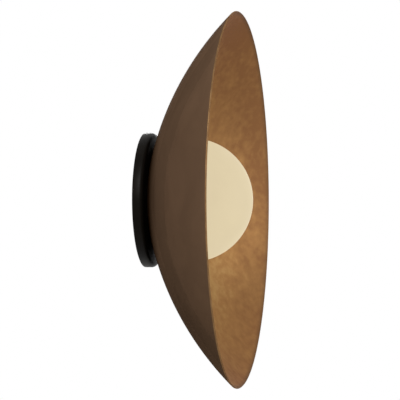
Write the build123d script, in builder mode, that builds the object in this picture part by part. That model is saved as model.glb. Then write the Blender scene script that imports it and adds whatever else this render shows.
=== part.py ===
from build123d import *
import os
from math import atan2, cos, radians, sin, sqrt, tan

# Flush wall light: a shallow spun dish with an opal globe sunk in it, on a round wall canopy.
# The origin is the centre of the canopy's open back, on the wall. +Z is up and -Y points out
# of the wall, so "out" in a name is a distance from the wall. All sizes are in millimetres.

# Canopy, pressed from steel sheet
canopy_diameter = 120.0
canopy_depth = 9.3
canopy_wall = 1.5
canopy_edge_radius = 3.6

# Dish, spun from brass sheet
dish_diameter = 335.0
dish_height = 75.2
dish_bowl_radius = 275.0
dish_wall = 1.5
dish_seat_diameter = 80.0
dish_rim_round = 0.4

# Globe, blown opal glass with a ground mouth, and the silicone ring under the mouth
globe_diameter = 110.0
globe_mouth_diameter = 95.5
globe_wall = 3.0
globe_mouth_round = 0.8
seal_thickness = 0.8
seal_width = 2.6
seal_clearance = 0.3

# Mounting strap, folded from steel strip
strap_sheet = 1.5
strap_width = 30.0
strap_body_length = 100.0
strap_corner_radius = 4.0
strap_wire_hole = 22.0
strap_ear_width = 12.0
strap_ear_height = 6.6
strap_ear_clearance = 0.5
strap_bend_radius = 0.5
slot_spacing = 79.4
slot_length = 16.0
slot_width = 4.6

# Canopy screws, into the strap's ears from above and below
canopy_screw_thread = 3.0
canopy_screw_length = 6.0
canopy_screw_head = 5.6
canopy_screw_out = 3.4
canopy_screw_sink = 0.1

# Proportions of the metric screws, nuts and washers
head_per_thread = 1.85
head_height_per_thread = 0.65
socket_per_thread = 0.6
socket_depth_per_thread = 0.4
nut_width_per_thread = 1.75
nut_height_per_thread = 0.8
washer_per_thread = 1.8
washer_height_per_thread = 0.2
washer_split = 0.8
thread_clearance = 0.05
through_clearance = 0.2

# Clamp screws, which hold bracket, carrier, dish and canopy together
clamp_thread = 4.0
clamp_spacing = 28.0
clamp_tail = 0.8

# Wire hole through the clamped sheets, and its rubber grommet
wire_hole = 9.0
grommet_bore = 6.0
grommet_lip_diameter = 12.4
grommet_lip = 1.2
grommet_clearance = 0.05

# Globe carrier, spun from aluminium sheet
carrier_sheet = 1.0
carrier_height = 9.2
carrier_floor_diameter = 43.0
carrier_brim_width = 9.0
carrier_mouth_clearance = 2.2

# Leaf springs that grip the globe from inside, and their rivets
spring_count = 3
spring_strip = 0.45
spring_width = 7.0
spring_foot = 8.0
spring_bend_radius = 1.4
spring_bend_angle = 105.0
spring_leaf = 12.0
spring_globe_clearance = 0.3
rivet_shank = 2.4
rivet_head = 4.4
rivet_head_height = 0.9

# Lampholder bracket, folded from steel strip
bracket_sheet = 1.2
bracket_height = 8.4
bracket_gap = 16.0
bracket_leg_width = 12.0
bracket_foot_margin = 5.0
bracket_plate_margin = 0.6
bracket_wire_slot_length = 14.0
bracket_wire_slot_width = 5.0

# Lampholder, pressed steatite with two pin pockets
holder_height = 17.0
holder_length = 19.5
holder_width = 12.0
holder_flange = 4.0
holder_flange_margin = 3.3
holder_edge_round = 0.8
holder_pocket_depth = 13.0
holder_pocket_length = 4.6
holder_pocket_width = 3.4
holder_lead_clearance = 0.15
holder_screw_thread = 3.0
holder_screw_spacing = 26.0
holder_screw_length = 8.0

# Spring contacts in the pockets
contact_strip = 0.4
contact_width = 3.6
contact_height = 12.0
contact_gap = 1.2

# Push-in lamp with two looped pins
pin_spacing = 9.0
pin_wire = 1.0
pin_loop_width = 2.4
pin_length = 10.0
lamp_length = 38.0
lamp_tongue_length = 14.5
lamp_tongue_width = 7.0
lamp_tongue_height = 5.0
lamp_skirt_diameter = 16.6
lamp_skirt_height = 7.0
lamp_skirt_chamfer = 1.5
lamp_spigot_height = 3.0
lamp_cover_diameter = 15.0
lamp_cover_wall = 1.0
lamp_cover_clearance = 0.1
board_width = 9.0
board_thickness = 1.0
board_length = 18.0
led_width = 2.8
led_height = 3.0
led_thickness = 0.7
led_rows = 4
led_columns = 2
led_pitch = 4.2

# Leads and their crimped ends
lead_diameter = 1.8
lead_offset = 1.2
lead_clearance = 0.05
tuck_out = 4.4
ferrule_collar = 3.0
ferrule_collar_length = 4.0
ferrule_cap = 0.4
ferrule_pin = 1.6
ferrule_pin_length = 6.0

# Earth connection, from a stud on the canopy to a screw on the strap
earth_thread = 4.0
earth_stud_length = 5.2
earth_stud_x = 30.0
earth_stud_z = -34.0
earth_stud_angle = 37.0
earth_screw_x = 9.0
earth_screw_z = -22.0
earth_screw_angle = 11.0
eyelet_sheet = 0.8
eyelet_ring = 8.0
eyelet_tongue = 3.0
eyelet_barrel = 3.4
eyelet_barrel_start = 6.0
eyelet_barrel_length = 7.0
crimp_depth = 6.0

# Levels out from the wall
canopy_inside_out = canopy_depth - canopy_wall
carrier_seat_out = canopy_depth + dish_wall
carrier_floor_out = carrier_seat_out + carrier_sheet
brim_front_out = carrier_seat_out + carrier_height
bracket_foot_out = carrier_floor_out + bracket_sheet
bracket_top_out = carrier_floor_out + bracket_height
lamp_seat_out = bracket_top_out + holder_height
pocket_floor_out = lamp_seat_out - holder_pocket_depth

# The dish's section is one arc from its flat seat to its rim, which is trimmed square to the sheet
rim_radius = dish_diameter / 2
seat_radius = dish_seat_diameter / 2
dish_rim_out = canopy_depth + dish_height
flank_width = rim_radius - seat_radius
flank = sqrt(flank_width**2 + dish_height**2)
arc_rise = sqrt(dish_bowl_radius**2 - flank**2 / 4)
arc_centre_radius = (rim_radius + seat_radius) / 2 - arc_rise * dish_height / flank
arc_centre_out = canopy_depth + dish_height / 2 + arc_rise * flank_width / flank
bowl_inner_radius = dish_bowl_radius - dish_wall
inner_share = bowl_inner_radius / dish_bowl_radius
inner_rim_radius = arc_centre_radius + (rim_radius - arc_centre_radius) * inner_share
inner_rim_out = arc_centre_out + (dish_rim_out - arc_centre_out) * inner_share


def bowl_out(arc_radius, radius):
    """How far out the dish's outer or inner arc lies at this radius from the axis."""
    return arc_centre_out - sqrt(arc_radius**2 - (radius - arc_centre_radius) ** 2)


inner_seat_radius = arc_centre_radius + sqrt(bowl_inner_radius**2 - (arc_centre_out - carrier_seat_out) ** 2)

# The globe's seal lies just clear of the dish, and the mouth on the seal
globe_radius = globe_diameter / 2
globe_inner_radius = globe_radius - globe_wall
mouth_radius = globe_mouth_diameter / 2
seal_out = bowl_out(bowl_inner_radius, mouth_radius) + seal_clearance
mouth_out = seal_out + seal_thickness
globe_centre_out = mouth_out + sqrt(globe_radius**2 - mouth_radius**2)
mouth_inner_radius = sqrt(globe_inner_radius**2 - (globe_centre_out - mouth_out) ** 2)

# The carrier's floor lies on the dish's flat seat, and its brim fits the globe's mouth
carrier_floor_radius = carrier_floor_diameter / 2
brim_radius = mouth_inner_radius - carrier_mouth_clearance
brim_inner_radius = brim_radius - carrier_brim_width
brim_back_out = brim_front_out - carrier_sheet
rivet_radius = brim_radius - spring_foot / 2

OUT_AXIS = Axis((0, 0, 0), (0, -1, 0))
WALL = Plane(origin=(0, 0, 0), x_dir=(1, 0, 0), z_dir=(0, -1, 0))
STAND = (Align.CENTER, Align.CENTER, Align.MIN)
HANG = (Align.CENTER, Align.CENTER, Align.MAX)


def radial_plane(angle):
    """A plane through the axis: its x points away from the axis, its y out of the wall."""
    turn = radians(angle)
    return Plane(origin=(0, 0, 0), x_dir=(cos(turn), 0, sin(turn)), z_dir=(sin(turn), 0, -cos(turn)))


PROFILE = radial_plane(0)


def spot(x, z, out, faces_out=True, turn=0):
    """A plane parallel to the wall, whose x lies at this turn from +X and whose z faces out or in."""
    along = (cos(radians(turn)), 0, sin(radians(turn)))
    return Plane(origin=(x, -out, z), x_dir=along, z_dir=(0, -1 if faces_out else 1, 0))


def clamp_holes(out):
    """The wire hole and the two clamp screw holes, which all the clamped sheets share."""
    with BuildSketch(WALL.offset(out)) as holes:
        Circle(wire_hole / 2)
        with Locations((-clamp_spacing / 2, 0), (clamp_spacing / 2, 0)):
            Circle(clamp_thread / 2 + through_clearance)
    return holes.sketch


def rivet_holes(out):
    """The rivet holes, which the carrier's brim and the feet of the springs share."""
    with BuildSketch(WALL.offset(out)) as holes:
        with PolarLocations(rivet_radius, spring_count, start_angle=90):
            Circle(rivet_shank / 2 + thread_clearance)
    return holes.sketch


def pan_screw(seat, thread, length):
    """A pan-head socket screw. Its head stands on the seat plane and its shank hangs below."""
    head_height = thread * head_height_per_thread
    with BuildPart(seat) as screw:
        Cylinder(thread / 2, length, align=HANG)
        Cylinder(thread * head_per_thread / 2, head_height, align=STAND)
        fillet(screw.edges().sort_by(Axis(seat.origin, seat.z_dir))[-1], head_height / 3)
        with BuildSketch(seat.offset(head_height)):
            RegularPolygon(thread * socket_per_thread / 2, 6, major_radius=False)
        extrude(amount=-thread * socket_depth_per_thread, mode=Mode.SUBTRACT)
    return screw.part


def countersunk_screw(face, thread, length, head):
    """A countersunk socket screw, with the top of its head on the face plane."""
    head_height = (head - thread) / 2
    with BuildPart(face) as screw:
        Cylinder(thread / 2, length, align=HANG)
        with Locations((0, 0, -head_height)):
            Cone(thread / 2, head / 2, head_height, align=STAND)
        with BuildSketch(face):
            RegularPolygon(thread * socket_per_thread / 2, 6, major_radius=False)
        extrude(amount=-thread * socket_depth_per_thread, mode=Mode.SUBTRACT)
    return screw.part


def hex_nut(seat, thread):
    """A hexagon nut that stands on the seat plane."""
    with BuildPart(seat) as nut:
        with BuildSketch(seat):
            RegularPolygon(thread * nut_width_per_thread / 2, 6, major_radius=False)
            Circle(thread / 2 + thread_clearance, mode=Mode.SUBTRACT)
        extrude(amount=thread * nut_height_per_thread)
    return nut.part


def eyelet(seat, thread):
    """A ring terminal that lies on the seat plane, with its barrel along the plane's x."""
    barrel_at = seat.origin + seat.x_dir * eyelet_barrel_start + seat.z_dir * (eyelet_barrel / 2)
    with BuildPart() as terminal:
        with BuildSketch(seat):
            Circle(eyelet_ring / 2)
            with Locations((eyelet_barrel_start / 2, 0)):
                Rectangle(eyelet_barrel_start, eyelet_tongue)
            Circle(thread / 2 + through_clearance, mode=Mode.SUBTRACT)
        extrude(amount=eyelet_sheet)
        with BuildSketch(Plane(origin=barrel_at, z_dir=seat.x_dir)):
            Circle(eyelet_barrel / 2)
            Circle(lead_diameter / 2 + lead_clearance, mode=Mode.SUBTRACT)
        extrude(amount=eyelet_barrel_length)
    return terminal.part


def lead_radii(points):
    """Bend radii for a lead: at each corner the largest that its two runs leave room for."""
    spots = [Vector(*point) for point in points]
    radii = []
    for before, corner, after in zip(spots, spots[1:], spots[2:]):
        turn = (corner - before).get_angle(after - corner)
        shorter_run = min((corner - before).length, (after - corner).length)
        radii.append(0.45 * shorter_run / tan(radians(turn / 2)))
    return radii


def lead(points):
    """One insulated lead along straight runs and tangent arcs."""
    with BuildPart() as cord:
        with BuildLine() as route:
            FilletPolyline(*points, radius=lead_radii(points))
        with BuildSketch(Plane(origin=route.line @ 0, z_dir=route.line % 0)):
            Circle(lead_diameter / 2)
        sweep(path=route.line)
    return cord.part


def lead_point(x, z, out):
    """A point of a lead's route from its place on the wall and its distance out."""
    return (x, -out, z)


# Mounting strap: it screws to the wall box through its slots, and its folded ears take the
# canopy screws just inside the canopy's wall.
canopy_radius = canopy_diameter / 2
strap_reach = sqrt((canopy_radius - canopy_wall) ** 2 - (strap_ear_width / 2) ** 2) - strap_ear_clearance
with BuildPart() as mounting_strap:
    with BuildSketch(WALL):
        RectangleRounded(strap_width, strap_body_length, strap_corner_radius)
        Rectangle(strap_ear_width, 2 * strap_reach)
        Circle(strap_wire_hole / 2, mode=Mode.SUBTRACT)
        with Locations((0, -slot_spacing / 2), (0, slot_spacing / 2)):
            SlotOverall(slot_length, slot_width, rotation=90, mode=Mode.SUBTRACT)
        with Locations((earth_screw_x, earth_screw_z)):
            Circle(earth_thread / 2 + thread_clearance, mode=Mode.SUBTRACT)
    extrude(amount=strap_sheet)
    with BuildSketch(WALL):
        with Locations((0, strap_sheet / 2 - strap_reach), (0, strap_reach - strap_sheet / 2)):
            Rectangle(strap_ear_width, strap_sheet)
    extrude(amount=strap_ear_height)
    back_edges = mounting_strap.edges().group_by(OUT_AXIS)[0].filter_by(Axis.X).sort_by(Axis.Z)
    fillet([back_edges[0], back_edges[-1]], strap_bend_radius + strap_sheet)
    bend_edges = mounting_strap.edges().filter_by(Axis.X).filter_by_position(
        OUT_AXIS, strap_sheet - thread_clearance, strap_sheet + thread_clearance
    ).sort_by(Axis.Z)
    fillet([bend_edges[0], bend_edges[-1]], strap_bend_radius)
    with BuildSketch(Plane.XY):
        with Locations((0, -canopy_screw_out)):
            Circle(canopy_screw_thread / 2 + thread_clearance)
    extrude(amount=strap_reach, both=True, mode=Mode.SUBTRACT)

# Canopy: a shallow pan, open at the wall, with a rounded front edge. Countersunk holes at its
# top and bottom take the canopy screws.
top_face = Plane(origin=(0, -canopy_screw_out, canopy_radius), x_dir=(1, 0, 0), z_dir=(0, 0, 1))
bottom_face = Plane(origin=(0, -canopy_screw_out, -canopy_radius), x_dir=(1, 0, 0), z_dir=(0, 0, -1))
with BuildPart() as canopy:
    with BuildSketch(WALL):
        Circle(canopy_radius)
    extrude(amount=canopy_depth)
    fillet(canopy.edges().sort_by(OUT_AXIS)[-1], canopy_edge_radius)
    offset(amount=-canopy_wall, openings=canopy.faces().sort_by(OUT_AXIS)[0])
    extrude(clamp_holes(canopy_inside_out), amount=canopy_wall, mode=Mode.SUBTRACT)
    with Locations(top_face, bottom_face):
        CounterSinkHole(
            canopy_screw_thread / 2 + through_clearance,
            canopy_screw_head / 2,
            depth=2 * canopy_wall,
            counter_sink_angle=90,
        )

# Canopy screws: two small countersunk screws, sunk flush at the top and the bottom.
sunk_head = canopy_screw_head - 2 * (canopy_screw_sink + thread_clearance)
with BuildPart() as canopy_screws:
    for face in (top_face, bottom_face):
        sunk_face = face.offset(-canopy_screw_sink)
        add(countersunk_screw(sunk_face, canopy_screw_thread, canopy_screw_length, sunk_head))

# Earth stud, welded to the inside of the canopy, and its nut.
with BuildPart(spot(earth_stud_x, earth_stud_z, canopy_inside_out, faces_out=False)) as earth_stud:
    Cylinder(earth_thread / 2, earth_stud_length, align=STAND)

with BuildPart() as earth_nut:
    add(hex_nut(spot(earth_stud_x, earth_stud_z, canopy_inside_out - eyelet_sheet, False), earth_thread))

# Earth screw, on the front of the strap.
with BuildPart() as earth_screw:
    earth_seat = spot(earth_screw_x, earth_screw_z, strap_sheet + eyelet_sheet)
    add(pan_screw(earth_seat, earth_thread, strap_sheet + eyelet_sheet))

# Earth eyelets: one lies under the nut and one under the screw.
stud_eyelet = spot(earth_stud_x, earth_stud_z, canopy_inside_out, False, earth_stud_angle)
screw_eyelet = spot(earth_screw_x, earth_screw_z, strap_sheet, True, earth_screw_angle)
with BuildPart() as earth_eyelets:
    add(eyelet(stud_eyelet, earth_thread))
    add(eyelet(screw_eyelet, earth_thread))

# Earth lead: from one barrel in a slack loop to the other.
barrel_rise = eyelet_barrel / 2
crimped_end = eyelet_barrel_start + eyelet_barrel_length - crimp_depth
earth_route = [
    stud_eyelet.from_local_coords((crimped_end, 0, barrel_rise)),
    stud_eyelet.from_local_coords((20.5, 0, barrel_rise)),
    lead_point(40, -11, tuck_out),
    screw_eyelet.from_local_coords((22.5, 0, barrel_rise)),
    screw_eyelet.from_local_coords((crimped_end, 0, barrel_rise)),
]
with BuildPart() as earth_lead:
    add(lead(earth_route))

# Dish: spun with a flat seat against the canopy, one shallow curve and a plain trimmed rim.
with BuildPart() as dish:
    with BuildSketch(PROFILE):
        with BuildLine():
            mid_radius = (seat_radius + rim_radius) / 2
            outer_mid = (mid_radius, bowl_out(dish_bowl_radius, mid_radius))
            inner_mid = (mid_radius, bowl_out(bowl_inner_radius, mid_radius))
            Polyline((0, carrier_seat_out), (0, canopy_depth), (seat_radius, canopy_depth))
            ThreePointArc((seat_radius, canopy_depth), outer_mid, (rim_radius, dish_rim_out))
            Line((rim_radius, dish_rim_out), (inner_rim_radius, inner_rim_out))
            ThreePointArc((inner_rim_radius, inner_rim_out), inner_mid, (inner_seat_radius, carrier_seat_out))
            Line((inner_seat_radius, carrier_seat_out), (0, carrier_seat_out))
        make_face()
    revolve(axis=OUT_AXIS)
    fillet(dish.edges().filter_by(GeomType.CIRCLE).sort_by(OUT_AXIS)[-2:], dish_rim_round)
    extrude(clamp_holes(canopy_depth), amount=dish_wall, mode=Mode.SUBTRACT)

# Globe carrier: a white pan on the dish's seat. Its brim carries the springs inside the globe.
cone_angle = atan2(carrier_height - carrier_sheet, brim_inner_radius - carrier_floor_radius)
cone_shift = carrier_sheet * tan(cone_angle / 2)
with BuildPart() as globe_carrier:
    with BuildSketch(PROFILE):
        with BuildLine():
            Polyline(
                (0, carrier_seat_out),
                (carrier_floor_radius, carrier_seat_out),
                (brim_inner_radius, brim_back_out),
                (brim_radius, brim_back_out),
                (brim_radius, brim_front_out),
                (brim_inner_radius - cone_shift, brim_front_out),
                (carrier_floor_radius - cone_shift, carrier_floor_out),
                (0, carrier_floor_out),
                close=True,
            )
        make_face()
    revolve(axis=OUT_AXIS)
    extrude(clamp_holes(carrier_seat_out), amount=carrier_sheet, mode=Mode.SUBTRACT)
    extrude(rivet_holes(brim_back_out), amount=carrier_sheet, mode=Mode.SUBTRACT)

# Globe springs: leaves folded back from the brim, so that their bends bear on the glass just
# above the mouth. Each foot is riveted to the brim.
spring_angles = [90 + number * 360 / spring_count for number in range(spring_count)]
bend_out = brim_front_out + spring_strip + spring_bend_radius
bend_reach = globe_inner_radius - spring_globe_clearance - spring_strip - spring_bend_radius
bend_centre = sqrt(bend_reach**2 - (globe_centre_out - bend_out) ** 2 - (spring_width / 2) ** 2)
with BuildPart() as globe_springs:
    for angle in spring_angles:
        with BuildSketch(radial_plane(angle)):
            with BuildLine():
                foot_start = (brim_radius - spring_foot, brim_front_out + spring_strip)
                foot = Line(foot_start, (bend_centre, brim_front_out + spring_strip))
                bend = JernArc(foot @ 1, foot % 1, spring_bend_radius, spring_bend_angle)
                Line(bend @ 1, bend @ 1 + (bend % 1) * spring_leaf)
                offset(amount=spring_strip, side=Side.RIGHT)
            make_face()
        extrude(amount=spring_width / 2, both=True)
    extrude(rivet_holes(brim_front_out), amount=spring_strip, mode=Mode.SUBTRACT)

# Spring rivets: through each foot and the brim, with a formed head on either side.
with BuildPart() as spring_rivets:
    rivet_levels = [
        (brim_back_out - rivet_head_height, rivet_head_height, rivet_head),
        (brim_back_out, carrier_sheet + spring_strip, rivet_shank),
        (brim_front_out + spring_strip, rivet_head_height, rivet_head),
    ]
    for level, height, diameter in rivet_levels:
        with BuildSketch(WALL.offset(level)):
            with PolarLocations(rivet_radius, spring_count, start_angle=90):
                Circle(diameter / 2)
        extrude(amount=height)

# Wire grommet: lines the wire hole, with a lip inside the canopy and one inside the carrier.
with BuildPart() as wire_grommet:
    with BuildSketch(PROFILE):
        with BuildLine():
            neck_radius = wire_hole / 2 - grommet_clearance
            lip_radius = grommet_lip_diameter / 2
            Polyline(
                (grommet_bore / 2, canopy_inside_out - grommet_lip),
                (lip_radius, canopy_inside_out - grommet_lip),
                (lip_radius, canopy_inside_out),
                (neck_radius, canopy_inside_out),
                (neck_radius, carrier_floor_out),
                (lip_radius, carrier_floor_out),
                (lip_radius, carrier_floor_out + grommet_lip),
                (grommet_bore / 2, carrier_floor_out + grommet_lip),
                close=True,
            )
        make_face()
    revolve(axis=OUT_AXIS)

# Lampholder bracket: a bridge over the grommet. The clamp screws hold its feet.
bracket_half = bracket_gap / 2
bracket_back_out = bracket_top_out - bracket_sheet
foot_end = clamp_spacing / 2 + bracket_foot_margin
flange_length = holder_screw_spacing + 2 * holder_flange_margin
with BuildPart() as lampholder_bracket:
    with BuildSketch(PROFILE):
        with BuildLine():
            Polyline(
                (0, bracket_top_out),
                (bracket_half + bracket_sheet, bracket_top_out),
                (bracket_half + bracket_sheet, bracket_foot_out),
                (foot_end, bracket_foot_out),
                (foot_end, carrier_floor_out),
                (bracket_half, carrier_floor_out),
                (bracket_half, bracket_back_out),
                (0, bracket_back_out),
                close=True,
            )
        make_face()
        mirror(about=Plane.YZ)
    extrude(amount=bracket_leg_width / 2, both=True)
    with BuildSketch(WALL.offset(bracket_back_out)):
        Rectangle(bracket_gap + 2 * bracket_sheet, flange_length + 2 * bracket_plate_margin)
    extrude(amount=bracket_sheet)
    with BuildSketch(WALL.offset(carrier_floor_out)):
        with Locations((-clamp_spacing / 2, 0), (clamp_spacing / 2, 0)):
            Circle(clamp_thread / 2 + through_clearance)
    extrude(amount=bracket_sheet, mode=Mode.SUBTRACT)
    with BuildSketch(WALL.offset(bracket_back_out)):
        SlotOverall(bracket_wire_slot_length, bracket_wire_slot_width, rotation=90)
        with Locations((0, -holder_screw_spacing / 2), (0, holder_screw_spacing / 2)):
            Circle(holder_screw_thread / 2 + thread_clearance)
    extrude(amount=bracket_sheet, mode=Mode.SUBTRACT)

# Clamp screws, with a split spring washer under each head and a nut inside the canopy.
washer_height = clamp_thread * washer_height_per_thread
clamp_head_out = bracket_foot_out + washer_height
clamp_end_out = canopy_inside_out - clamp_thread * nut_height_per_thread - clamp_tail
clamp_places = (-clamp_spacing / 2, clamp_spacing / 2)
with BuildPart() as clamp_screws:
    for x in clamp_places:
        add(pan_screw(spot(x, 0, clamp_head_out), clamp_thread, clamp_head_out - clamp_end_out))

with BuildPart() as clamp_washers:
    washer_radius = clamp_thread * washer_per_thread / 2
    for x in clamp_places:
        with BuildSketch(spot(x, 0, bracket_foot_out)):
            Circle(washer_radius)
            Circle(clamp_thread / 2 + through_clearance, mode=Mode.SUBTRACT)
            with Locations((0, washer_radius)):
                Rectangle(washer_split, 2 * washer_radius - clamp_thread, mode=Mode.SUBTRACT)
        extrude(amount=washer_height)

with BuildPart() as clamp_nuts:
    for x in clamp_places:
        add(hex_nut(spot(x, 0, canopy_inside_out, faces_out=False), clamp_thread))

# Lampholder body: a flanged block of steatite, with a pocket for each pin and a lead hole below it.
pin_places = [(0, -pin_spacing / 2), (0, pin_spacing / 2)]
holder_screw_places = [(0, -holder_screw_spacing / 2), (0, holder_screw_spacing / 2)]
with BuildPart() as lampholder_body:
    with BuildSketch(WALL.offset(bracket_top_out)):
        SlotOverall(flange_length, holder_width, rotation=90)
    extrude(amount=holder_flange)
    with BuildSketch(WALL.offset(bracket_top_out)):
        SlotOverall(holder_length, holder_width, rotation=90)
    extrude(amount=holder_height)
    fillet(lampholder_body.edges().group_by(OUT_AXIS)[-1], holder_edge_round)
    with BuildSketch(WALL.offset(lamp_seat_out)):
        with Locations(*pin_places):
            Rectangle(holder_pocket_width, holder_pocket_length)
    extrude(amount=-holder_pocket_depth, mode=Mode.SUBTRACT)
    with BuildSketch(WALL.offset(bracket_top_out)):
        with Locations(*pin_places):
            Circle(lead_diameter / 2 + holder_lead_clearance)
    extrude(amount=pocket_floor_out - bracket_top_out, mode=Mode.SUBTRACT)
    with BuildSketch(WALL.offset(bracket_top_out)):
        with Locations(*holder_screw_places):
            Circle(holder_screw_thread / 2 + through_clearance)
    extrude(amount=holder_flange, mode=Mode.SUBTRACT)

# Lampholder contacts: a folded strip in each pocket, whose two leaves grip the pin.
with BuildPart() as lampholder_contacts:
    with BuildSketch(WALL.offset(pocket_floor_out)):
        with Locations(*pin_places):
            Rectangle(contact_gap + 2 * contact_strip, contact_width)
    extrude(amount=contact_strip)
    with BuildSketch(WALL.offset(pocket_floor_out)):
        with Locations(*pin_places):
            with Locations((-(contact_gap + contact_strip) / 2, 0), ((contact_gap + contact_strip) / 2, 0)):
                Rectangle(contact_strip, contact_width)
    extrude(amount=contact_height)

# Lampholder screws: through the flange, into the bracket's tapped holes.
with BuildPart() as lampholder_screws:
    for x, z in holder_screw_places:
        add(pan_screw(spot(x, z, bracket_top_out + holder_flange), holder_screw_thread, holder_screw_length))

# Live and neutral leads: from the contacts, through the grommet, and tucked round the inside of
# the canopy, one on either side.
live_route = [
    lead_point(0, pin_spacing / 2, pocket_floor_out),
    lead_point(0, pin_spacing / 2, bracket_top_out - lead_diameter),
    lead_point(0, lead_offset, carrier_floor_out + grommet_lip),
    lead_point(0, lead_offset, tuck_out),
    lead_point(0, 10.5, tuck_out),
    lead_point(12, 22, tuck_out),
    lead_point(28, 27, tuck_out),
    lead_point(42, 19, tuck_out),
    lead_point(48, 7, tuck_out),
]
neutral_route = [(-x, y, -z) for x, y, z in live_route]
with BuildPart() as live_lead:
    add(lead(live_route))

with BuildPart() as neutral_lead:
    add(lead(neutral_route))

# Lead ferrules: a collar round the end of each lead, closed by its crimped pin.
with BuildPart() as lead_ferrules:
    for route in (live_route, neutral_route):
        lead_end = Vector(*route[-1])
        heading = (lead_end - Vector(*route[-2])).normalized()
        with BuildSketch(Plane(origin=lead_end - heading * ferrule_collar_length, z_dir=heading)):
            Circle(ferrule_collar / 2)
            Circle(lead_diameter / 2 + lead_clearance, mode=Mode.SUBTRACT)
        extrude(amount=ferrule_collar_length)
        with BuildSketch(Plane(origin=lead_end, z_dir=heading)):
            Circle(ferrule_collar / 2)
        extrude(amount=ferrule_cap)
        with BuildSketch(Plane(origin=lead_end + heading * ferrule_cap, z_dir=heading)):
            Circle(ferrule_pin / 2)
        extrude(amount=ferrule_pin_length)

# Lamp base: a tongue that stands on the lampholder, under a round skirt with the cover's spigot.
skirt_out = lamp_seat_out + lamp_tongue_height
cover_out = skirt_out + lamp_skirt_height
spigot_out = cover_out + lamp_spigot_height
cover_radius = lamp_cover_diameter / 2
cover_inner_radius = cover_radius - lamp_cover_wall
with BuildPart() as lamp_base:
    with BuildSketch(WALL.offset(skirt_out)):
        Circle(lamp_skirt_diameter / 2)
    extrude(amount=lamp_skirt_height)
    chamfer(lamp_base.edges().group_by(OUT_AXIS)[0], lamp_skirt_chamfer)
    with BuildSketch(WALL.offset(lamp_seat_out)):
        SlotOverall(lamp_tongue_length, lamp_tongue_width, rotation=90)
    extrude(amount=lamp_tongue_height)
    with BuildSketch(WALL.offset(cover_out)):
        Circle(cover_inner_radius - lamp_cover_clearance)
    extrude(amount=lamp_spigot_height)

# Lamp pins: two hairpin loops of wire that stand in the lampholder's contacts.
with BuildPart() as lamp_pins:
    loop_radius = pin_loop_width / 2
    loop_out = lamp_seat_out - pin_length + loop_radius
    for x, z in pin_places:
        with BuildLine() as loop:
            Line((x, -lamp_seat_out, z - loop_radius), (x, -loop_out, z - loop_radius))
            ThreePointArc(
                (x, -loop_out, z - loop_radius),
                (x, -loop_out + loop_radius, z),
                (x, -loop_out, z + loop_radius),
            )
            Line((x, -loop_out, z + loop_radius), (x, -lamp_seat_out, z + loop_radius))
        with BuildSketch(Plane(origin=loop.line @ 0, z_dir=loop.line % 0)):
            Circle(pin_wire / 2)
        sweep(path=loop.line)

# Lamp board, with rows of light-emitting diodes on both faces.
with BuildPart() as lamp_board:
    with BuildSketch(WALL.offset(spigot_out)):
        Rectangle(board_thickness, board_width)
    extrude(amount=board_length)

with BuildPart() as lamp_leds:
    for side in (-1, 1):
        board_face = Plane(
            origin=(side * board_thickness / 2, -spigot_out - board_length / 2, 0),
            x_dir=(0, 0, 1),
            z_dir=(side, 0, 0),
        )
        with BuildSketch(board_face):
            with GridLocations(led_pitch, led_pitch, led_columns, led_rows):
                Rectangle(led_width, led_height)
        extrude(amount=led_thickness)

# Lamp cover: a frosted tube with a round end, over the spigot.
dome_out = lamp_seat_out + lamp_length - cover_radius
with BuildPart() as lamp_cover:
    with BuildSketch(PROFILE):
        with BuildLine():
            diagonal = sqrt(0.5)
            outer_mid = (cover_radius * diagonal, dome_out + cover_radius * diagonal)
            inner_mid = (cover_inner_radius * diagonal, dome_out + cover_inner_radius * diagonal)
            Polyline(
                (cover_inner_radius, dome_out),
                (cover_inner_radius, cover_out),
                (cover_radius, cover_out),
                (cover_radius, dome_out),
            )
            ThreePointArc((cover_radius, dome_out), outer_mid, (0, dome_out + cover_radius))
            Line((0, dome_out + cover_radius), (0, dome_out + cover_inner_radius))
            ThreePointArc((0, dome_out + cover_inner_radius), inner_mid, (cover_inner_radius, dome_out))
        make_face()
    revolve(axis=OUT_AXIS)

# Globe: an opal sphere cut off at its ground mouth, which stands round the carrier.
with BuildPart() as globe:
    with BuildSketch(PROFILE):
        with BuildLine():
            outer_pole = (0, globe_centre_out + globe_radius)
            inner_pole = (0, globe_centre_out + globe_inner_radius)
            ThreePointArc((mouth_radius, mouth_out), (globe_radius, globe_centre_out), outer_pole)
            Line(outer_pole, inner_pole)
            ThreePointArc(inner_pole, (globe_inner_radius, globe_centre_out), (mouth_inner_radius, mouth_out))
            Line((mouth_inner_radius, mouth_out), (mouth_radius, mouth_out))
        make_face()
    revolve(axis=OUT_AXIS)
    fillet(globe.edges().filter_by(GeomType.CIRCLE).group_by(OUT_AXIS)[0], globe_mouth_round)

# Globe seal: a flat silicone ring on the mouth, which keeps the glass off the dish.
with BuildPart() as globe_seal:
    with BuildSketch(WALL.offset(seal_out)):
        Circle(mouth_radius)
        Circle(mouth_radius - seal_width, mode=Mode.SUBTRACT)
    extrude(amount=seal_thickness)

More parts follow.
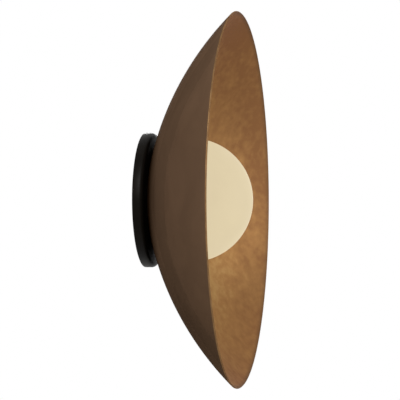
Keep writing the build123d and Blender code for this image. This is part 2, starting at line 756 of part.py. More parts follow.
pieces = {
    "mounting_strap": mounting_strap,
    "canopy": canopy,
    "canopy_screws": canopy_screws,
    "earth_stud": earth_stud,
    "earth_nut": earth_nut,
    "earth_screw": earth_screw,
    "earth_eyelets": earth_eyelets,
    "earth_lead": earth_lead,
    "dish": dish,
    "globe_carrier": globe_carrier,
    "globe_springs": globe_springs,
    "spring_rivets": spring_rivets,
    "wire_grommet": wire_grommet,
    "lampholder_bracket": lampholder_bracket,
    "clamp_screws": clamp_screws,
    "clamp_washers": clamp_washers,
    "clamp_nuts": clamp_nuts,
    "lampholder_body": lampholder_body,
    "lampholder_contacts": lampholder_contacts,
    "lampholder_screws": lampholder_screws,
    "live_lead": live_lead,
    "neutral_lead": neutral_lead,
    "lead_ferrules": lead_ferrules,
    "lamp_base": lamp_base,
    "lamp_pins": lamp_pins,
    "lamp_board": lamp_board,
    "lamp_leds": lamp_leds,
    "lamp_cover": lamp_cover,
    "globe": globe,
    "globe_seal": globe_seal,
}
os.makedirs("parts", exist_ok=True)
for name, piece in pieces.items():
    piece.part.label = name
    export_step(piece.part, f"parts/{name}.step")
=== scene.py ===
from math import acos, asin, cos, pi, radians, sin, sqrt

import bmesh
import bpy
from mathutils import Matrix, Vector


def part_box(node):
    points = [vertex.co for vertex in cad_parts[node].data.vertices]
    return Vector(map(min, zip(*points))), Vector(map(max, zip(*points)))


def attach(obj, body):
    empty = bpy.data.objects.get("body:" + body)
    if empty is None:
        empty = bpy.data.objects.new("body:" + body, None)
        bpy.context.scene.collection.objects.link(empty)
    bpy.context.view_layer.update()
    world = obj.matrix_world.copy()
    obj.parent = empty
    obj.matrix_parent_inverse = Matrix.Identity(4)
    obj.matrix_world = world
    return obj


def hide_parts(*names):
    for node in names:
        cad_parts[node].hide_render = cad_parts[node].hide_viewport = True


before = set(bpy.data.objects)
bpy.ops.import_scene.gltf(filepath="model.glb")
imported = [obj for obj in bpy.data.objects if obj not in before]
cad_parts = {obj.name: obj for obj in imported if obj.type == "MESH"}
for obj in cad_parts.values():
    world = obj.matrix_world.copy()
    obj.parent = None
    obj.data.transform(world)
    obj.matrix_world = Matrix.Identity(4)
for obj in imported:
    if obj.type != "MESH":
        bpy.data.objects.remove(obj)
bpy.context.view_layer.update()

# Mounting strap: a strip of zinc-plated steel, blanked and folded, that screws to the wall box
# through its two slots. Its sheared edges are a little worn, and its two ears take the canopy screws.
MM = 0.001
weld_reach = 0.002 * MM
noise_span = {"From Min": 0.3, "From Max": 0.7}


def linear(colour):
    """An sRGB hex colour as linear light, with full alpha."""
    shares = [int(colour[at:at + 2], 16) / 255 for at in (1, 3, 5)]
    return [share / 12.92 if share <= 0.04045 else ((share + 0.055) / 1.055) ** 2.4 for share in shares] + [1]


def wire(owner, node, links):
    """Gives each of a node's inputs named in links its value, or the output that feeds it."""
    for name, value in links.items():
        if isinstance(value, bpy.types.NodeSocket):
            owner.node_tree.links.new(value, node.inputs[name])
        else:
            node.inputs[name].default_value = value


def add_node(owner, kind, links={}, stops={}, **settings):
    """Adds a node with its settings, its links and, on a colour ramp, the colour at each stop."""
    added = owner.node_tree.nodes.new(kind)
    for name, value in settings.items():
        setattr(added, name, value)
    for number, (place, colour) in enumerate(stops.items()):
        stop = added.color_ramp.elements[number] if number < 2 else added.color_ramp.elements.new(place)
        stop.position = place
        stop.color = linear(colour)
    wire(owner, added, links)
    return added


def new_material(name, **sockets):
    """A material, its shader with these uniform values, and the piece's own coordinates."""
    material = bpy.data.materials.new(name)
    material.use_nodes = True
    shader = material.node_tree.nodes["Principled BSDF"]
    wire(material, shader, {socket.replace("_", " "): value for socket, value in sockets.items()})
    return material, shader, add_node(material, "ShaderNodeTexCoord").outputs["Object"]


def metal_finish(name, bright, dull, smooth, rough, cloud, grain, **sockets):
    """Plated or bare metal: slow clouds of tarnish over the fine grain that rolling or tumbling leaves."""
    material, shader, place = new_material(name, **{"Metallic": 1.0, **sockets})
    tarnish = add_node(material, "ShaderNodeTexNoise", {"Vector": place, "Scale": 1 / cloud, "Detail": 4.0})
    tint = add_node(material, "ShaderNodeValToRGB", {"Fac": tarnish.outputs["Fac"]},
                    {0.36: dull, 0.62: bright})
    marks = add_node(material, "ShaderNodeTexNoise", {"Vector": place, "Scale": 1 / grain, "Detail": 2.0})
    gloss = add_node(material, "ShaderNodeMapRange",
                     {"Value": marks.outputs["Fac"], **noise_span, "To Min": smooth, "To Max": rough})
    dents = add_node(material, "ShaderNodeBump",
                     {"Height": marks.outputs["Fac"], "Strength": 0.3, "Distance": 0.03 * grain})
    wire(material, shader, {"Base Color": tint.outputs["Color"], "Roughness": gloss.outputs["Result"],
                            "Normal": dents.outputs["Normal"]})
    return material


def finish_piece(name, mesh, body, node, slot, *materials):
    """Makes the object, smooth but for its sharp edges, and puts it in the place of its solid."""
    data = bpy.data.meshes.new(name)
    mesh.to_mesh(data)
    mesh.free()
    data.shade_smooth()
    data.set_sharp_from_angle(angle=radians(40))
    for material in materials:
        data.materials.append(material)
    piece = bpy.data.objects.new(name, data)
    bpy.context.scene.collection.objects.link(piece)
    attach(piece, body)
    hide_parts(node)


def edge_runs(edges):
    """Sorts edges into runs that hang together."""
    waiting = dict.fromkeys(edges)
    runs = []
    while waiting:
        run = [waiting.popitem()[0]]
        for edge in run:
            for near in [*edge.verts[0].link_edges, *edge.verts[1].link_edges]:
                if near in waiting:
                    del waiting[near]
                    run.append(near)
        runs.append(run)
    return runs


def dress_solid(name, ease, body, node, slot, material, inside_corners=True):
    """Puts one clean copy of a solid in its place. Each run of sharp edges is eased by this width, or by
    as much of it as the run's shortest facets leave room for. Inside corners can be left sharp."""
    mesh = bmesh.new()
    mesh.from_mesh(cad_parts[node].data)
    bmesh.ops.remove_doubles(mesh, verts=mesh.verts, dist=weld_reach)
    bmesh.ops.dissolve_limit(mesh, angle_limit=radians(1), verts=mesh.verts, edges=mesh.edges)
    sharp = [edge for edge in mesh.edges
             if edge.calc_face_angle() > radians(35) and (inside_corners or edge.is_convex)]
    for run in edge_runs(sharp):
        bmesh.ops.bevel(mesh, geom=run, offset=ease, segments=2, profile=0.5, affect="EDGES",
                        clamp_overlap=True, material=-1)
    finish_piece(name, mesh, body, node, slot, material)


# Bright zinc plate on rolled steel: a cool pale metal with faint grey clouds.
zinc_plate = metal_finish("zinc_plated_steel", "#C3C7C9", "#A5ABB0", 0.28, 0.42, 9 * MM, 1.2 * MM)
dress_solid("strap_strip", 0.25 * MM, "fixture", "mounting_strap", "zinc_steel", zinc_plate)

# Canopy: a shallow round pan pressed from steel sheet, open at the wall, with a softly rounded
# front edge. It is powder coated black and hides the strap and the leads.
# Black powder coat: a deep, even film with a weak sheen and a fine orange peel, a trace browner where
# it is thin.
black_coat, shader, place = new_material("black_powder_coat", IOR=1.5, Specular_IOR_Level=0.035)
film = add_node(black_coat, "ShaderNodeTexNoise", {"Vector": place, "Scale": 1 / (22 * MM), "Detail": 3.0})
film_tint = add_node(black_coat, "ShaderNodeValToRGB", {"Fac": film.outputs["Fac"]},
                     {0.35: "#090705", 0.65: "#0E0B08"})
film_gloss = add_node(black_coat, "ShaderNodeMapRange",
                      {"Value": film.outputs["Fac"], **noise_span, "To Min": 0.36, "To Max": 0.44})
peel = add_node(black_coat, "ShaderNodeTexNoise", {"Vector": place, "Scale": 1 / (1.4 * MM), "Detail": 1.0})
peel_bump = add_node(black_coat, "ShaderNodeBump",
                     {"Height": peel.outputs["Fac"], "Strength": 0.35, "Distance": 0.04 * MM})
wire(black_coat, shader, {"Base Color": film_tint.outputs["Color"], "Roughness": film_gloss.outputs["Result"],
                          "Normal": peel_bump.outputs["Normal"]})
dress_solid("canopy_pan", 0.25 * MM, "fixture", "canopy", "black_coat", black_coat)

# Canopy screws: two countersunk socket screws of black steel, one through the canopy's top and one
# through its bottom, into the strap's ears.
# Black oxide on steel: a thin dark film with a dull metal shine.
black_oxide = metal_finish("black_oxide_steel", "#2C2A29", "#1A1918", 0.38, 0.5, 4 * MM, 0.5 * MM)
dress_solid("canopy_screw_pair", 0.1 * MM, "fixture", "canopy_screws", "black_screw", black_oxide)

# Earth connection: a copper-flashed stud welded inside the canopy with a brass nut, a green-painted
# screw on the strap, and between them a crimped lead with a ring terminal on each end.
# Copper flash on steel: a thin reddish plate, browner in patches.
copper_flash = metal_finish("copper_flashed_steel", "#B97A58", "#8F5B40", 0.3, 0.45, 3 * MM, 0.5 * MM)
dress_solid("earth_stud_pin", 0.3 * MM, "fixture", "earth_stud", "copper_stud", copper_flash)
# Turned brass: a bright yellow metal, a little dulled by the air.
turned_brass = metal_finish("turned_brass", "#C9A65C", "#A9853F", 0.24, 0.38, 4 * MM, 0.6 * MM)
dress_solid("earth_hex_nut", 0.25 * MM, "fixture", "earth_nut", "brass_fixings", turned_brass)
# Tin plate on copper: a soft warm grey metal.
tin_plate = metal_finish("tin_plated_copper", "#CFCDC6", "#ADAAA2", 0.3, 0.46, 3 * MM, 0.5 * MM)
dress_solid("earth_ring_terminals", 0.1 * MM, "fixture", "earth_eyelets", "tinned_copper", tin_plate)


def moulded_finish(name, light, dark, smooth, rough, cloud, grit, **sockets):
    """A moulded, fired or dipped surface: one colour with slow clouds and the fine grit of its mould."""
    material, shader, place = new_material(name, **sockets)
    tone = add_node(material, "ShaderNodeTexNoise", {"Vector": place, "Scale": 1 / cloud, "Detail": 3.0})
    tint = add_node(material, "ShaderNodeValToRGB", {"Fac": tone.outputs["Fac"]}, {0.35: dark, 0.65: light})
    grains = add_node(material, "ShaderNodeTexNoise", {"Vector": place, "Scale": 1 / grit, "Detail": 2.0})
    gloss = add_node(material, "ShaderNodeMapRange",
                     {"Value": grains.outputs["Fac"], **noise_span, "To Min": smooth, "To Max": rough})
    relief = add_node(material, "ShaderNodeBump",
                      {"Height": grains.outputs["Fac"], "Strength": 0.35, "Distance": 0.04 * grit})
    wire(material, shader, {"Base Color": tint.outputs["Color"], "Roughness": gloss.outputs["Result"],
                            "Normal": relief.outputs["Normal"]})
    return material


# Green enamel paint: a thin dipped coat with a plain satin sheen.
green_paint = moulded_finish("green_screw_paint", "#3C7A45", "#2C6236", 0.3, 0.42, 3 * MM, 0.6 * MM, IOR=1.5)
dress_solid("earth_pan_screw", 0.12 * MM, "fixture", "earth_screw", "green_screw", green_paint)
# Green vinyl: smooth extruded insulation with a soft shine.
green_vinyl = moulded_finish("green_vinyl", "#3F8A48", "#33773D", 0.34, 0.46, 6 * MM, 0.8 * MM, IOR=1.53)
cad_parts["earth_lead"].material_slots[0].material = green_vinyl

# Dish: spun from brass sheet in one shallow curve, with a flat seat and a rim trimmed square to the
# sheet. It is patinated by hand, darker outside, and clamped between canopy and carrier.
OUT_OF_WALL = Vector((0, -1, 0))


def run_to(mesh, start, radius, out):
    """Extrudes a profile's last point to this radius and distance from the wall."""
    end = bmesh.ops.extrude_vert_indiv(mesh, verts=[start])["verts"][0]
    end.co = (radius, -out, 0)
    return end


def swing_to(mesh, start, centre, turn, steps):
    """Spins a profile's last point round a centre in the profile's plane."""
    arc = bmesh.ops.spin(mesh, geom=[start], cent=centre, axis=(0, 0, 1), angle=turn, steps=steps)
    return [item for item in arc["geom_last"] if isinstance(item, bmesh.types.BMVert)][0]


def turn_profile(mesh, steps, edge_round, segments):
    """Spins a profile once round the light's axis, closes its seam and rounds its corners."""
    bmesh.ops.spin(mesh, geom=mesh.verts[:] + mesh.edges[:], cent=(0, 0, 0), axis=OUT_OF_WALL, angle=2 * pi,
                   steps=steps, use_merge=True)
    bmesh.ops.remove_doubles(mesh, verts=mesh.verts, dist=weld_reach)
    bmesh.ops.recalc_face_normals(mesh, faces=mesh.faces)
    corners = [edge for edge in mesh.edges if edge.calc_face_angle() > radians(25)]
    bmesh.ops.bevel(mesh, geom=corners, offset=edge_round, segments=segments, profile=0.5, affect="EDGES",
                    clamp_overlap=True, material=-1)


seat_out = -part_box("dish")[1].y
seat_radius = 40 * MM
wire_hole_radius = 4.5 * MM
rim_radius = 167.5 * MM
rim_rise = 75.2 * MM
dish_sheet = 1.5 * MM
bowl_outside = 275 * MM
bowl_inside = bowl_outside - dish_sheet
flank = Vector((rim_radius - seat_radius, -rim_rise, 0))
across_flank = Vector((flank.y, -flank.x, 0)).normalized()
bowl_centre = Vector((seat_radius, -seat_out, 0)) + flank / 2
bowl_centre += across_flank * sqrt(bowl_outside**2 - (flank.length / 2) ** 2)
seat_angle = asin((seat_radius - bowl_centre.x) / bowl_outside)
rim_angle = asin((rim_radius - bowl_centre.x) / bowl_outside)
inner_seat_angle = acos((-seat_out - dish_sheet - bowl_centre.y) / bowl_inside)
inner_rim = bowl_centre + bowl_inside * Vector((sin(rim_angle), cos(rim_angle), 0))

dish_mesh = bmesh.new()
first = dish_mesh.verts.new((wire_hole_radius, -seat_out, 0))
last = run_to(dish_mesh, first, seat_radius, seat_out)
last = swing_to(dish_mesh, last, bowl_centre, seat_angle - rim_angle, 72)
last = run_to(dish_mesh, last, inner_rim.x, -inner_rim.y)
last = swing_to(dish_mesh, last, bowl_centre, rim_angle - inner_seat_angle, 72)
last = run_to(dish_mesh, last, wire_hole_radius, seat_out + dish_sheet)
dish_mesh.edges.new((last, first))
turn_profile(dish_mesh, 256, 0.4 * MM, 3)
# Faces that look at the wall take the outside's patina, the trimmed edge looks away from the axis,
# and the rest is the inside.
for face in dish_mesh.faces:
    away = (face.calc_center_median() * Vector((1, 0, 1))).normalized()
    looks_at_wall = face.normal.y > 0.6
    looks_away = face.normal.dot(away) > 0.1
    face.material_index = 0 if looks_at_wall else 2 if looks_away else 1

ring_pitch = 2.6 * MM


def spinning_marks(material, place):
    """The faint rings that spinning leaves, as a bump. They are drawn wider than the real 0.5 mm to show."""
    rings = add_node(material, "ShaderNodeTexWave",
                     {"Vector": place, "Scale": pi / 10 / ring_pitch, "Distortion": 1.6, "Detail": 2.0,
                      "Detail Scale": 0.6}, wave_type="RINGS", rings_direction="Y")
    ring_bump = add_node(material, "ShaderNodeBump",
                         {"Height": rings.outputs["Fac"], "Strength": 0.15, "Distance": 0.02 * MM})
    return ring_bump.outputs["Normal"]


def axis_distance(material, place, drop=0.0):
    """The distance from the light's axis, or from a line this much lower."""
    across = add_node(material, "ShaderNodeVectorMath", {0: place, 1: (1, 0, 1), 2: (0, 0, drop)},
                      operation="MULTIPLY_ADD")
    reach = add_node(material, "ShaderNodeVectorMath", {0: across.outputs[0]}, operation="LENGTH")
    return reach.outputs["Value"]


# Dark bronze patina: a dull, smoky brown film that lets little of the brass shine through. Slow clouds
# come from the sponge. Round the canopy the colour is painted almost black, as painted shade in the recess
# between canopy and dish.
recess_dark = seat_radius + 17 * MM
recess_clear = seat_radius + 48 * MM
dark_bronze, shader, place = new_material("dark_bronze_patina", Metallic=0.12, Specular_IOR_Level=0.0,
                                          Specular_Tint=linear("#7A736B"))
smoke = add_node(dark_bronze, "ShaderNodeTexNoise",
                 {"Vector": place, "Scale": 1 / (60 * MM), "Detail": 5.0, "Roughness": 0.55,
                  "Distortion": 0.5})
smoke_tint = add_node(dark_bronze, "ShaderNodeValToRGB", {"Fac": smoke.outputs["Fac"]},
                      {0.3: "#523F30", 0.7: "#5D4837"})
# Painted shade: close to the canopy the colour turns almost black, and it fades out further from the axis.
recess = add_node(dark_bronze, "ShaderNodeMapRange",
                  {"Value": axis_distance(dark_bronze, place), "From Min": recess_dark,
                   "From Max": recess_clear, "To Min": 0.97, "To Max": 0.0})
painted_recess_shade = add_node(dark_bronze, "ShaderNodeMix",
                  {0: recess.outputs["Result"], 6: smoke_tint.outputs["Color"], 7: linear("#1C1006")},
                  data_type="RGBA")
smoke_gloss = add_node(dark_bronze, "ShaderNodeMapRange",
                       {"Value": smoke.outputs["Fac"], **noise_span, "To Min": 0.42, "To Max": 0.54})
wire(dark_bronze, shader, {"Base Color": painted_recess_shade.outputs[2], "Roughness": smoke_gloss.outputs["Result"],
                           "Normal": spinning_marks(dark_bronze, place)})

# Golden brown patina: the same brass rubbed back inside, cloudy and mottled, with the metal's warmth
# showing through. It is painted palest round and below the globe, a painted pool of the globe's light, and
# darker towards the rim. A dark line is painted along the rim as painted shade of its edge.
light_pool_drop = 18 * MM
light_pool_reach = 100 * MM
edge_shade_start = inner_rim.x - 3 * MM
edge_shade_full = inner_rim.x - 0.5 * MM
gold_patina, shader, place = new_material("golden_brass_patina", Metallic=0.36, Specular_IOR_Level=0.03,
                                          Specular_Tint=linear("#9C6E42"))
clouds = add_node(gold_patina, "ShaderNodeTexNoise",
                  {"Vector": place, "Scale": 1 / (42 * MM), "Detail": 5.0, "Roughness": 0.6,
                   "Distortion": 0.6})
mottle = add_node(gold_patina, "ShaderNodeTexNoise",
                  {"Vector": place, "Scale": 1 / (6 * MM), "Detail": 3.0, "Roughness": 0.5})
blend = add_node(gold_patina, "ShaderNodeMix", {0: 0.4, 2: clouds.outputs["Fac"], 3: mottle.outputs["Fac"]})
# Painted light: paler round a line just below the globe's centre, where the globe's light falls, and darker
# towards the rim.
painted_globe_light = add_node(gold_patina, "ShaderNodeMapRange",
                  {"Value": axis_distance(gold_patina, place, light_pool_drop), "From Min": light_pool_reach,
                   "From Max": rim_radius, "To Min": 0.09, "To Max": -0.23})
shade = add_node(gold_patina, "ShaderNodeMath", {0: blend.outputs[0], 1: painted_globe_light.outputs["Result"]})
cloud_tint = add_node(gold_patina, "ShaderNodeValToRGB", {"Fac": shade.outputs[0]},
                      {0.25: "#7E5838", 0.5: "#916B42", 0.75: "#A88655"})
# Painted shade: a dark line along the inner rim, standing in for the shade on the rim's rounded edge.
rim_edge_shade = add_node(gold_patina, "ShaderNodeMapRange",
                     {"Value": axis_distance(gold_patina, place), "From Min": edge_shade_start,
                      "From Max": edge_shade_full, "To Max": 0.7})
rim_shaded = add_node(gold_patina, "ShaderNodeMix",
                   {0: rim_edge_shade.outputs["Result"], 6: cloud_tint.outputs["Color"], 7: linear("#5C4632")},
                   data_type="RGBA")
cloud_gloss = add_node(gold_patina, "ShaderNodeMapRange",
                       {"Value": blend.outputs[0], "From Min": 0.35, "From Max": 0.65,
                        "To Min": 0.54, "To Max": 0.44})
wire(gold_patina, shader, {"Base Color": rim_shaded.outputs[2], "Roughness": cloud_gloss.outputs["Result"],
                           "Normal": spinning_marks(gold_patina, place)})

# Worn rim: the trimmed edge of the sheet, a little lighter than the outside: partly brass kept bright by
# handling, partly a painted highlight where the edge catches the light.
rim_brass_and_highlight = metal_finish("worn_brass_rim_highlight", "#7D6040", "#684E33", 0.5, 0.6, 12 * MM, 1.5 * MM, Metallic=0.7,
                          Specular_IOR_Level=0.1, Specular_Tint=linear("#8E7359"))
finish_piece("dish_bowl", dish_mesh, "fixture", "dish", "patinated_brass",
             dark_bronze, gold_patina, rim_brass_and_highlight)

# Globe carrier: a pan spun from aluminium sheet and painted white, clamped to the dish's seat. Its
# brim carries the globe's springs, and its white cone sends the lamp's light forward.
carrier_low, carrier_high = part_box("globe_carrier")
carrier_back = -carrier_high.y
brim_front = -carrier_low.y
brim_radius = carrier_high.x
brim_inside = 33 * MM
floor_radius = 21.5 * MM
carrier_sheet = 1 * MM
cone_set_in = 0.5 * MM
carrier_mesh = bmesh.new()
first = carrier_mesh.verts.new((wire_hole_radius, -carrier_back, 0))
last = run_to(carrier_mesh, first, floor_radius, carrier_back)
last = run_to(carrier_mesh, last, brim_inside, brim_front - carrier_sheet)
last = run_to(carrier_mesh, last, brim_radius, brim_front - carrier_sheet)
last = run_to(carrier_mesh, last, brim_radius, brim_front)
last = run_to(carrier_mesh, last, brim_inside - cone_set_in, brim_front)
last = run_to(carrier_mesh, last, floor_radius - cone_set_in, carrier_back + carrier_sheet)
last = run_to(carrier_mesh, last, wire_hole_radius, carrier_back + carrier_sheet)
carrier_mesh.edges.new((last, first))
turn_profile(carrier_mesh, 128, 0.35 * MM, 3)
# Matt white stove enamel: nearly even, with the slight pebble of sprayed paint.
white_enamel = moulded_finish("white_stove_enamel", "#ECEAE4", "#E1DED6", 0.42, 0.55, 14 * MM, 1.6 * MM,
                              IOR=1.5)
finish_piece("carrier_pan", carrier_mesh, "fixture", "globe_carrier", "white_paint", white_enamel)

# Globe springs: three leaves of tempered spring steel, folded back so that their bends bear on the
# glass just above the mouth. An aluminium rivet holds each foot to the brim.
# Tempered spring steel: a smooth, slightly blue grey strip.
spring_steel = metal_finish("tempered_spring_steel", "#A2A3A6", "#80828A", 0.25, 0.38, 5 * MM, 0.7 * MM)
dress_solid("spring_leaves", 0.08 * MM, "fixture", "globe_springs", "spring_steel", spring_steel)
# Soft aluminium: pale and dull, as a rivet is after setting.
soft_aluminium = metal_finish("aluminium_rivet", "#D2D2D0", "#BBBBB9", 0.35, 0.5, 3 * MM, 0.5 * MM)
dress_solid("spring_rivet_heads", 0.3 * MM, "fixture", "spring_rivets", "rivet_aluminium", soft_aluminium)

# Wire grommet: a black rubber bush snapped into the hole through canopy, dish and carrier, with a
# rounded lip at each end to save the leads from the cut sheet.
grommet_low, grommet_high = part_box("wire_grommet")
grommet_back = -grommet_high.y
grommet_front = -grommet_low.y
lip_radius = grommet_high.x
lip_thickness = 1.2 * MM
grommet_bore = 3 * MM
neck_radius = wire_hole_radius - 0.05 * MM
grommet_mesh = bmesh.new()
first = grommet_mesh.verts.new((grommet_bore, -grommet_back, 0))
last = run_to(grommet_mesh, first, lip_radius, grommet_back)
last = run_to(grommet_mesh, last, lip_radius, grommet_back + lip_thickness)
last = run_to(grommet_mesh, last, neck_radius, grommet_back + lip_thickness)
last = run_to(grommet_mesh, last, neck_radius, grommet_front - lip_thickness)
last = run_to(grommet_mesh, last, lip_radius, grommet_front - lip_thickness)
last = run_to(grommet_mesh, last, lip_radius, grommet_front)
last = run_to(grommet_mesh, last, grommet_bore, grommet_front)
grommet_mesh.edges.new((last, first))
turn_profile(grommet_mesh, 64, 0.4 * MM, 4)
# Moulded black rubber: dull and nearly even.
black_rubber = moulded_finish("black_rubber", "#232221", "#191818", 0.55, 0.7, 4 * MM, 0.6 * MM, IOR=1.52)
finish_piece("grommet_bush", grommet_mesh, "fixture", "wire_grommet", "black_rubber", black_rubber)

# Lampholder bracket: a bridge of zinc-plated strip over the grommet. Two socket screws with spring
# washers and nuts clamp its feet, the carrier, the dish and the canopy together.
dress_solid("bracket_bridge", 0.2 * MM, "fixture", "lampholder_bracket", "zinc_steel", zinc_plate)
# Zinc plate on turned screws: brighter and a little warmer than on the strip.
zinc_screw = metal_finish("zinc_plated_screws", "#C9CAC6", "#A9AAA6", 0.26, 0.4, 4 * MM, 0.5 * MM)
dress_solid("clamp_screw_pair", 0.15 * MM, "fixture", "clamp_screws", "zinc_screws", zinc_screw)
dress_solid("clamp_spring_washers", 0.1 * MM, "fixture", "clamp_washers", "zinc_screws", zinc_screw)
dress_solid("clamp_hex_nuts", 0.25 * MM, "fixture", "clamp_nuts", "zinc_screws", zinc_screw)

# Lampholder: a flanged block of pressed and fired steatite with a pocket for each pin of the lamp.
# Nickel-plated spring contacts sit in the pockets, and two small screws hold it to the bracket.
# Steatite: an off-white, faintly speckled ceramic with a dull unglazed skin.
steatite = moulded_finish("unglazed_steatite", "#E9E4D8", "#DCD5C5", 0.5, 0.66, 5 * MM, 0.7 * MM, IOR=1.55)
dress_solid("lampholder_block", 0.3 * MM, "fixture", "lampholder_body", "steatite", steatite)
# Nickel plate: a bright, slightly yellow metal.
nickel_plate = metal_finish("nickel_plate", "#CFC9BC", "#AFA999", 0.22, 0.34, 3 * MM, 0.5 * MM)
dress_solid("contact_leaves", 0.06 * MM, "fixture", "lampholder_contacts", "nickel_contacts", nickel_plate)
dress_solid("lampholder_screw_pair", 0.12 * MM, "fixture", "lampholder_screws", "zinc_screws", zinc_screw)

# Live and neutral leads: stranded wire in black and white vinyl, from the contacts through the
# grommet and round the inside of the canopy. A crimped ferrule closes each free end.
# Black and white vinyl: smooth extruded insulation with a soft shine.
black_vinyl = moulded_finish("black_vinyl", "#22201F", "#181716", 0.34, 0.46, 6 * MM, 0.8 * MM, IOR=1.53)
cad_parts["live_lead"].material_slots[0].material = black_vinyl
white_vinyl = moulded_finish("white_vinyl", "#E6E4DE", "#D8D5CD", 0.34, 0.46, 6 * MM, 0.8 * MM, IOR=1.53)
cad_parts["neutral_lead"].material_slots[0].material = white_vinyl
dress_solid("lead_ferrule_pair", 0.12 * MM, "fixture", "lead_ferrules", "tinned_copper", tin_plate)

# Lamp: a small push-in lamp. Two nickel pins stand under a white moulded base, and a board with two
# rows of diodes on each face stands in a frosted cover. It pulls out of the lampholder.
# White moulded plastic: even, with a soft sheen. The corner between tongue and skirt is too tight to ease.
lamp_moulding = moulded_finish("white_lamp_moulding", "#EDEBE5", "#E2DFD7", 0.38, 0.5, 8 * MM, 0.9 * MM,
                               IOR=1.5)
dress_solid("lamp_foot", 0.3 * MM, "lamp", "lamp_base", "lamp_ceramic", lamp_moulding, inside_corners=False)
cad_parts["lamp_pins"].material_slots[0].material = nickel_plate
# White solder mask: a smooth printed coat on the board.
solder_mask = moulded_finish("white_solder_mask", "#EAEAE4", "#DEDED6", 0.32, 0.44, 4 * MM, 0.7 * MM, IOR=1.5)
dress_solid("lamp_board_card", 0.08 * MM, "lamp", "lamp_board", "board_white", solder_mask)
# Yellow phosphor: a matt yellow gel that glows warm white.
phosphor = moulded_finish("yellow_phosphor", "#EBC65C", "#DDB347", 0.4, 0.55, 2 * MM, 0.5 * MM,
                          Emission_Color=linear("#FFE3A6"), Emission_Strength=1.0)
dress_solid("lamp_diodes", 0.12 * MM, "lamp", "lamp_leds", "led_phosphor", phosphor)

cover_low, cover_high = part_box("lamp_cover")
cover_foot = -cover_high.y
cover_radius = cover_high.x
cover_wall = 1 * MM
dome_out = -cover_low.y - cover_radius
cover_mesh = bmesh.new()
first = cover_mesh.verts.new((cover_radius - cover_wall, -cover_foot, 0))
last = run_to(cover_mesh, first, cover_radius, cover_foot)
last = run_to(cover_mesh, last, cover_radius, dome_out)
swing_to(cover_mesh, last, OUT_OF_WALL * dome_out, -pi / 2, 20)
last = run_to(cover_mesh, first, cover_radius - cover_wall, dome_out)
swing_to(cover_mesh, last, OUT_OF_WALL * dome_out, -pi / 2, 20)
turn_profile(cover_mesh, 64, 0.25 * MM, 2)
# Frosted polycarbonate, lit from inside: an even warm white with faint clouds.
frosted_cover = moulded_finish("frosted_polycarbonate", "#F2E9D4", "#E8DCC0", 0.5, 0.62, 6 * MM, 0.8 * MM,
                               IOR=1.58, Emission_Color=linear("#F6E4BC"), Emission_Strength=0.7)
finish_piece("lamp_frosted_tube", cover_mesh, "lamp", "lamp_cover", "frosted_cover", frosted_cover)

# Globe: blown opal glass, a sphere cut off and ground at its mouth, which pushes over the springs.
# A silicone ring under the mouth keeps the glass off the brass.
globe_low, globe_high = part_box("globe")
globe_radius = globe_high.x
globe_wall = 3 * MM
globe_inside = globe_radius - globe_wall
mouth_out = -globe_high.y
globe_centre_out = -globe_low.y - globe_radius
mouth_depth = globe_centre_out - mouth_out
globe_mesh = bmesh.new()
pole = globe_mesh.verts.new((0, -globe_centre_out - globe_radius, 0))
last = swing_to(globe_mesh, pole, OUT_OF_WALL * globe_centre_out, pi - acos(mouth_depth / globe_radius), 72)
last = run_to(globe_mesh, last, sqrt(globe_inside**2 - mouth_depth**2), mouth_out)
swing_to(globe_mesh, last, OUT_OF_WALL * globe_centre_out, acos(mouth_depth / globe_inside) - pi, 60)
turn_profile(globe_mesh, 144, 0.8 * MM, 3)
# Lit opal glass: the milky layer spreads the lamp so evenly that its front reads as one warm cream,
# with faint clouds where the blown wall is thicker. Its glow is painted dimmer towards the mouth, behind the
# lamp: partly the lamp's light falling off there, partly painted shade that gives the globe its round form.
lit_out = 62 * MM
opal_glass, shader, place = new_material("lit_opal_glass", Base_Color=linear("#332E26"), IOR=1.5,
                                         Roughness=0.5, Specular_IOR_Level=0.03)
milk = add_node(opal_glass, "ShaderNodeTexNoise", {"Vector": place, "Scale": 1 / (30 * MM), "Detail": 3.0})
glow = add_node(opal_glass, "ShaderNodeValToRGB", {"Fac": milk.outputs["Fac"]},
                {0.3: "#D9C9A6", 0.7: "#DDCDA9"})
depth = add_node(opal_glass, "ShaderNodeSeparateXYZ", {"Vector": place})
# Painted shade: the glow dims from the globe's front half towards the mouth, to give the globe its round
# form.
glow_falloff_and_painted_shade = add_node(opal_glass, "ShaderNodeMapRange",
                  {"Value": depth.outputs["Y"], "From Min": -lit_out, "From Max": -mouth_out,
                   "To Min": 1.0, "To Max": 0.62})
wire(opal_glass, shader, {"Emission Color": glow.outputs["Color"],
                          "Emission Strength": glow_falloff_and_painted_shade.outputs["Result"]})
finish_piece("globe_shell", globe_mesh, "globe", "globe", "opal_glass", opal_glass)

seal_low, seal_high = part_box("globe_seal")
seal_outside = seal_high.x
seal_width = 2.6 * MM
seal_inside = seal_outside - seal_width
seal_mesh = bmesh.new()
first = seal_mesh.verts.new((seal_inside, seal_high.y, 0))
last = run_to(seal_mesh, first, seal_outside, -seal_high.y)
last = run_to(seal_mesh, last, seal_outside, -seal_low.y)
last = run_to(seal_mesh, last, seal_inside, -seal_low.y)
seal_mesh.edges.new((last, first))
turn_profile(seal_mesh, 144, 0.3 * MM, 3)
# Moulded silicone: a milky grey rubber with a dull skin.
silicone = moulded_finish("translucent_silicone", "#DEDCD6", "#D2CFC8", 0.45, 0.6, 6 * MM, 0.8 * MM, IOR=1.41)
finish_piece("globe_seal_ring", seal_mesh, "globe", "globe_seal", "silicone", silicone)

# Studio: a plain pale floor well below the light, which fades out into a white backdrop all round.
# Camera, gloss and glass see both paler than they light the object, and the floor keeps its shadow.
floor_drop = 1.5
floor_reach = 14
fade_start = 3
fade_end = 12


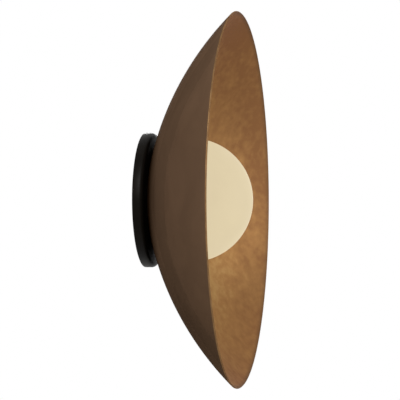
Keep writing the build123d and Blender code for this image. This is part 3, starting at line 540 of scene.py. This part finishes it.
def backdrop_strength(owner, lighting, seen):
    """A backdrop's strength: one value where it lights the object, another where it is seen or mirrored."""
    ray = add_node(owner, "ShaderNodeLightPath").outputs
    direct = add_node(owner, "ShaderNodeMath", {0: ray["Is Camera Ray"], 1: ray["Is Glossy Ray"]},
                      operation="MAXIMUM")
    direct = add_node(owner, "ShaderNodeMath", {0: direct.outputs[0], 1: ray["Is Transmission Ray"]},
                      operation="MAXIMUM")
    strength = add_node(owner, "ShaderNodeMapRange",
                        {"Value": direct.outputs[0], "To Min": lighting, "To Max": seen})
    return strength.outputs["Result"]


floor_mesh = bmesh.new()
bmesh.ops.create_grid(floor_mesh, x_segments=1, y_segments=1, size=floor_reach)
bmesh.ops.translate(floor_mesh, verts=floor_mesh.verts, vec=(0, 0, -floor_drop))
floor_data = bpy.data.meshes.new("studio_floor")
floor_mesh.to_mesh(floor_data)
floor_mesh.free()
# Matt white paint: nearly even, and clear where the floor fades out.
floor_finish = moulded_finish("pale_studio_floor", "#F4F4F2", "#EFEFEC", 0.8, 0.9, 600 * MM, 50 * MM, IOR=1.4,
                              Emission_Color=(1, 1, 1, 1))
spot = add_node(floor_finish, "ShaderNodeTexCoord").outputs["Object"]
from_light = add_node(floor_finish, "ShaderNodeVectorMath", {0: spot}, operation="LENGTH")
fade = add_node(floor_finish, "ShaderNodeMapRange",
                {"Value": from_light.outputs["Value"], "From Min": fade_start, "From Max": fade_end,
                 "To Min": 1.0, "To Max": 0.0})
wire(floor_finish, floor_finish.node_tree.nodes["Principled BSDF"],
     {"Emission Strength": backdrop_strength(floor_finish, 0.0, 0.55), "Alpha": fade.outputs["Result"]})
floor_data.materials.append(floor_finish)
floor = bpy.data.objects.new("studio_floor", floor_data)
bpy.context.scene.collection.objects.link(floor)

studio = bpy.data.worlds.new("white_studio")
bpy.context.scene.world = studio
studio.use_nodes = True
wire(studio, studio.node_tree.nodes["Background"],
     {"Color": (1, 1, 1, 1), "Strength": backdrop_strength(studio, 0.22, 1.0)})

# Soft boxes: four round lamps that face the dish. The key hangs high on the camera's side, the front
# lamp fills the bowl, the side lamp rakes the dish's back, and the fill lifts its far side.
box_aim = Vector((0, -0.06, 0))


def soft_box(name, place, size, power):
    """A round soft box that faces the dish from this place."""
    lamp = bpy.data.lights.new(name, "AREA")
    lamp.shape = "DISK"
    lamp.size = size
    lamp.energy = power
    box = bpy.data.objects.new(name, lamp)
    box.location = place
    box.rotation_euler = (box_aim - box.location).to_track_quat("-Z", "Y").to_euler()
    box.visible_camera = False
    bpy.context.scene.collection.objects.link(box)


soft_box("key_soft_box", (-1.2, -1.1, 1.2), 1.4, 10)
soft_box("front_soft_box", (0.48, -1.9, 0.1), 0.8, 16.5)
soft_box("side_soft_box", (-2.0, 0.02, 1.15), 0.8, 60)
soft_box("fill_soft_box", (2.0, 0.35, 0.2), 0.8, 18)

# Camera: level with the dish's centre and nearly along the wall, far enough away for a long lens. It
# aims behind the rim, so that the whole light stands in the middle of the picture.
view_turn = radians(9.54)
view_roll = radians(-0.11)
view_distance = 2.235
aim_behind_rim = 34.65 * MM
rim_centre = OUT_OF_WALL * (seat_out + rim_rise)
picture_right = Vector((sin(view_turn), -cos(view_turn), 0))
camera_lens = bpy.data.cameras.new("camera")
camera_lens.sensor_width = 36
camera_lens.lens = 226.5
camera = bpy.data.objects.new("camera", camera_lens)
bpy.context.scene.collection.objects.link(camera)
camera.location = rim_centre - view_distance * Vector((cos(view_turn), sin(view_turn), 0))
aim = rim_centre - aim_behind_rim * picture_right
look = (aim - camera.location).to_track_quat("-Z", "Y").to_matrix()
camera.rotation_euler = (look @ Matrix.Rotation(view_roll, 3, "Z")).to_euler()
bpy.context.scene.camera = camera
bpy.context.scene.view_settings.view_transform = "Standard"
